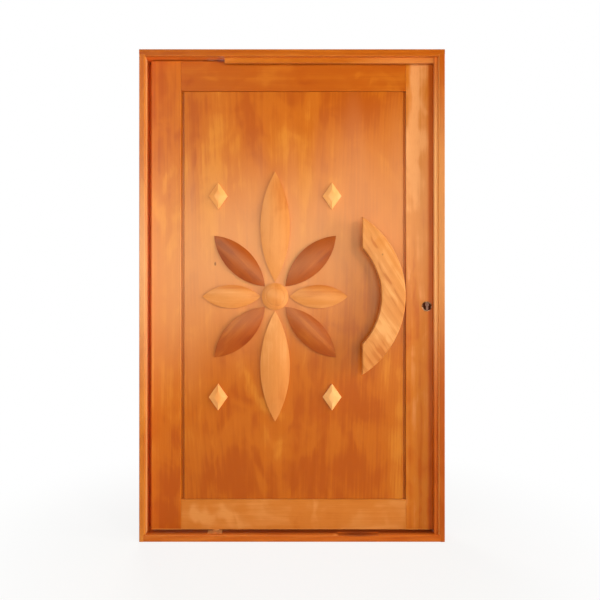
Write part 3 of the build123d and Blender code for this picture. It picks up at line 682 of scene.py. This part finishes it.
# Brush lines and stains of a metal: waves a metre, detail, roughness and distortion
BRUSH = ((300, 300, 12), 3.0, 0.6, 0.0)
TARNISH = ((60, 60, 60), 4.0, 0.6, 0.4)
TARNISH_FADE = (0.35, 0.7)
DULLED = 0.7
BRUSH_DEPTH = 0.00003
BRUSH_STRENGTH = 0.5

# How the brush lines and stains, the stains at half weight, make a metal smoother or rougher
STAIN_WEIGHT = 0.5
METAL_UNEVENNESS = (0.4, 1.1)
SMOOTHER = 0.08
ROUGHER = 0.12

# The part of a round plate's radius that its painted glint on the rim leaves dark, and the stains that break
# up the glint
GLINT_START = 0.70
GLINT_FADE = (0.42, 0.56)


def metal(name, colour, roughness, metallic=1.0, rim=None):
    """A drawn or cast metal with fine brush lines, tarnish and a little relief.

    A rim is the centre, the radius and the colour of a painted glint on a round plate's edge: a bright, less
    metallic colour that stands in for the highlights that the edge catches.
    """
    material, t, shader = surface(name)
    brush, stain = (t.noise(t.place(waves), *rest) for waves, *rest in (BRUSH, TARNISH))
    dull = tuple(c * DULLED for c in colour[:3]) + (1.0,)
    shown = t.blend(t.fade(stain, *TARNISH_FADE), colour, dull)
    # Painted glint: the rim turns bright and less metallic, standing in for the light that it reflects
    if rim:
        centre, radius, bright = rim
        inside = t.mark(t.own, centre, (radius, EVERYWHERE, radius), core=GLINT_START)
        painted_glint = t.math("MULTIPLY", t.math("SUBTRACT", 1.0, inside), t.fade(stain, *GLINT_FADE))
        shown = t.blend(painted_glint, shown, bright)
        t.link(t.math("MULTIPLY_ADD", painted_glint, -metallic, metallic), shader["Metallic"])
    else:
        shader["Metallic"].default_value = metallic
    t.link(shown, shader["Base Color"])
    unevenness = t.math("MULTIPLY_ADD", stain, STAIN_WEIGHT, brush)
    least, most = roughness - SMOOTHER, roughness + ROUGHER
    t.link(t.remap(unevenness, *METAL_UNEVENNESS, least, most), shader["Roughness"])
    t.link(t.bump(brush, BRUSH_DEPTH, BRUSH_STRENGTH), shader["Normal"])
    return material


def dress_metal():
    """Dark bronze roses, a dull cylinder and steel plates. Returns the metals of bright and rusty screws."""
    low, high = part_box("outer_lock_rose")
    # The rose's rim carries a painted glint
    rim = ((low + high) / 2, (high.x - low.x) / 2, rgb(250, 206, 170))
    bronze = metal("bronze", rgb(76, 36, 30), 0.38, rim=rim)
    nickel = metal("nickel", rgb(176, 134, 140), 0.36)
    steel = metal("steel", rgb(150, 130, 108), 0.34)
    # Painted reflection: the floor pivot's steel is tan and partly diffuse, standing in for the wood that it
    # mirrors
    floor_steel_painted_reflection = metal("floor_steel_painted_reflection", rgb(250, 178, 112), 0.36, metallic=0.3)
    old_steel = metal("old_steel", rgb(190, 62, 26), 0.45, metallic=0.0)
    use = {
        bronze: ("outer_lock_rose", "inner_lock_rose"),
        nickel: ("lock_cylinder",),
        floor_steel_painted_reflection: ("floor_pivot",),
        old_steel: ("top_pivot_socket", "top_pivot_pin"),
        steel: ("strike_plate", "bottom_pivot_shoe", "lock_faceplate", "latch_bolt"),
    }
    for material, names in use.items():
        for name in names:
            dress(name, material)
    return metal("screw_steel", rgb(236, 190, 150), 0.28), old_steel


# Screws

# Sizes in metres: a head's radius, and how far screws sit from the ends of their plates and from the axis
SCREW_RADIUS = 0.0045
PLATE_INSET = 0.012
FLOOR_INSET = 0.0055
FLOOR_ASIDE = 0.013

# A head's shares of its radius: how deep it sits, its edge, crown and flat, and the cross cut in it
SCREW_FOOT, SCREW_EDGE, SCREW_CROWN, SCREW_FLAT = -0.05, 0.06, 0.15, 0.86
RECESS_ARM, RECESS_HALF_WIDTH, RECESS_FLOOR, RECESS_TAPER = 0.58, 0.13, 0.02, 0.8
SCREW_SIDES = 32

# Radians by which each screw is turned further than the one before
SCREW_TURN = 0.4


def screw_mesh(material):
    """A low screw head with a cross recess, standing on its plate and facing +Z."""
    made = bmesh.new()
    angles = [math.tau * at / SCREW_SIDES for at in range(SCREW_SIDES)]
    ring = [(math.cos(angle), math.sin(angle)) for angle in angles]
    arm, half = RECESS_ARM, RECESS_HALF_WIDTH
    cross = [(arm, -half), (arm, half), (half, half), (half, arm), (-half, arm), (-half, half),
             (-arm, half), (-arm, -half), (-half, -half), (-half, -arm), (half, -arm), (half, -half)]

    def loop(points, size, height):
        across = size * SCREW_RADIUS
        return [made.verts.new((x * across, y * across, height * SCREW_RADIUS)) for x, y in points]

    def join(a, b):
        for at in range(len(a)):
            after = (at + 1) % len(a)
            made.faces.new((a[at], a[after], b[after], b[at]))

    foot, rim = loop(ring, 1.0, SCREW_FOOT), loop(ring, 1.0, SCREW_EDGE)
    top = loop(ring, SCREW_FLAT, SCREW_CROWN)
    mouth, floor = loop(cross, 1.0, SCREW_CROWN), loop(cross, RECESS_TAPER, RECESS_FLOOR)
    join(foot, rim)
    join(rim, top)
    join(floor, mouth)
    made.faces.new(floor)
    edges = [made.edges.get((chain[at], chain[(at + 1) % len(chain)]))
             for chain in (top, mouth) for at in range(len(chain))]
    bmesh.ops.triangle_fill(made, use_beauty=True, use_dissolve=False, edges=edges)
    bmesh.ops.recalc_face_normals(made, faces=made.faces)
    mesh = bpy.data.meshes.new("screw")
    made.to_mesh(mesh)
    made.free()
    mesh.materials.append(material)
    return mesh


def screw_spots():
    """Each screw's plate, body, place on the face that shows, and the way it faces."""
    low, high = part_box("floor_pivot")
    axis_x = (low.x + high.x) / 2
    sill_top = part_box("sill")[1].z
    rail_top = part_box("top_rail")[1].z
    spots = [("floor", "frame", (axis_x + side, y, sill_top), (0, 0, 1))
             for side in (-FLOOR_ASIDE, FLOOR_ASIDE) for y in (low.y + FLOOR_INSET, high.y - FLOOR_INSET)]
    for name, body, across in (("strike_plate", "frame", -1), ("lock_faceplate", "leaf", 1)):
        low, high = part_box(name)
        face = low.x if across < 0 else high.x
        spots += [(name, body, (face, (low.y + high.y) / 2, z), (across, 0, 0))
                  for z in (low.z + PLATE_INSET, high.z - PLATE_INSET)]
    for name, body, up in (("top_pivot_socket", "frame", -1), ("top_pivot_pin", "leaf", 1),
                           ("bottom_pivot_shoe", "leaf", -1)):
        low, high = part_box(name)
        face = rail_top if up > 0 else low.z
        spots += [(name, body, (x, (low.y + high.y) / 2, face), (0, 0, up))
                  for x in (low.x + PLATE_INSET, high.x - PLATE_INSET)]
    return spots


def make_screws(bright, rusty):
    """The screws of each plate, near its ends. Those under the head are rusty."""
    bright_mesh, rusty_mesh = screw_mesh(bright), screw_mesh(rusty)
    for at, (name, body, place, facing) in enumerate(screw_spots()):
        mesh = rusty_mesh if name == "top_pivot_socket" else bright_mesh
        screw = bpy.data.objects.new("screw_%s_%d" % (name, at + 1), mesh)
        turn = Vector((0, 0, 1)).rotation_difference(Vector(facing)).to_matrix().to_4x4()
        screw.matrix_world = Matrix.Translation(place) @ turn @ Matrix.Rotation(SCREW_TURN * at, 4, "Z")
        scene.collection.objects.link(screw)
        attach(screw, body)


# Softened edges

# The rounding of a board's arrises and the weld of double points, in metres, then the angle from which an
# arris is rounded and the one up to which a mesh is smoothed
ARRIS_WIDTH = 0.0007
WELD_REACH = 1e-5
ARRIS_ANGLE = math.radians(35)
SMOOTH_ANGLE = math.radians(32)


def smooth_group():
    """A node group that smooths a mesh but keeps its sharper edges."""
    group = bpy.data.node_groups.new("soft_shading", "GeometryNodeTree")
    group.interface.new_socket("Geometry", in_out="INPUT", socket_type="NodeSocketGeometry")
    group.interface.new_socket("Geometry", in_out="OUTPUT", socket_type="NodeSocketGeometry")
    start = group.nodes.new("NodeGroupInput")
    end = group.nodes.new("NodeGroupOutput")
    angle = group.nodes.new("GeometryNodeInputMeshEdgeAngle")
    below = group.nodes.new("FunctionNodeCompare")
    below.data_type = "FLOAT"
    below.operation = "LESS_THAN"
    below.inputs[1].default_value = SMOOTH_ANGLE
    faces = group.nodes.new("GeometryNodeSetShadeSmooth")
    faces.domain = "FACE"
    edges = group.nodes.new("GeometryNodeSetShadeSmooth")
    edges.domain = "EDGE"
    group.links.new(start.outputs[0], faces.inputs["Geometry"])
    group.links.new(faces.outputs[0], edges.inputs["Geometry"])
    group.links.new(angle.outputs[0], below.inputs[0])
    group.links.new(below.outputs[0], edges.inputs["Shade Smooth"])
    group.links.new(edges.outputs[0], end.inputs[0])
    return group


def soften(node, group):
    """Welds a node's mesh and shades it smooth, and rounds a board's arrises a little."""
    obj = nodes[node]
    weld = obj.modifiers.new("weld", "WELD")
    weld.merge_threshold = WELD_REACH
    if node in BOARDS:
        bevel = obj.modifiers.new("arris", "BEVEL")
        bevel.width = ARRIS_WIDTH
        bevel.segments = 2
        bevel.limit_method = "ANGLE"
        bevel.angle_limit = ARRIS_ANGLE
        bevel.use_clamp_overlap = True
    smooth = obj.modifiers.new("soft", "NODES")
    smooth.node_group = group
    if node in BOARDS:
        flat = obj.modifiers.new("flat", "WEIGHTED_NORMAL")
        flat.keep_sharp = True


def soften_all():
    group = smooth_group()
    for node in nodes:
        soften(node, group)


make_camera()
make_world()
make_floor()
make_lights()
dress_boards()
dress_pull()
dress_rosette()
make_screws(*dress_metal())
soften_all()

scene.view_settings.view_transform = "Standard"
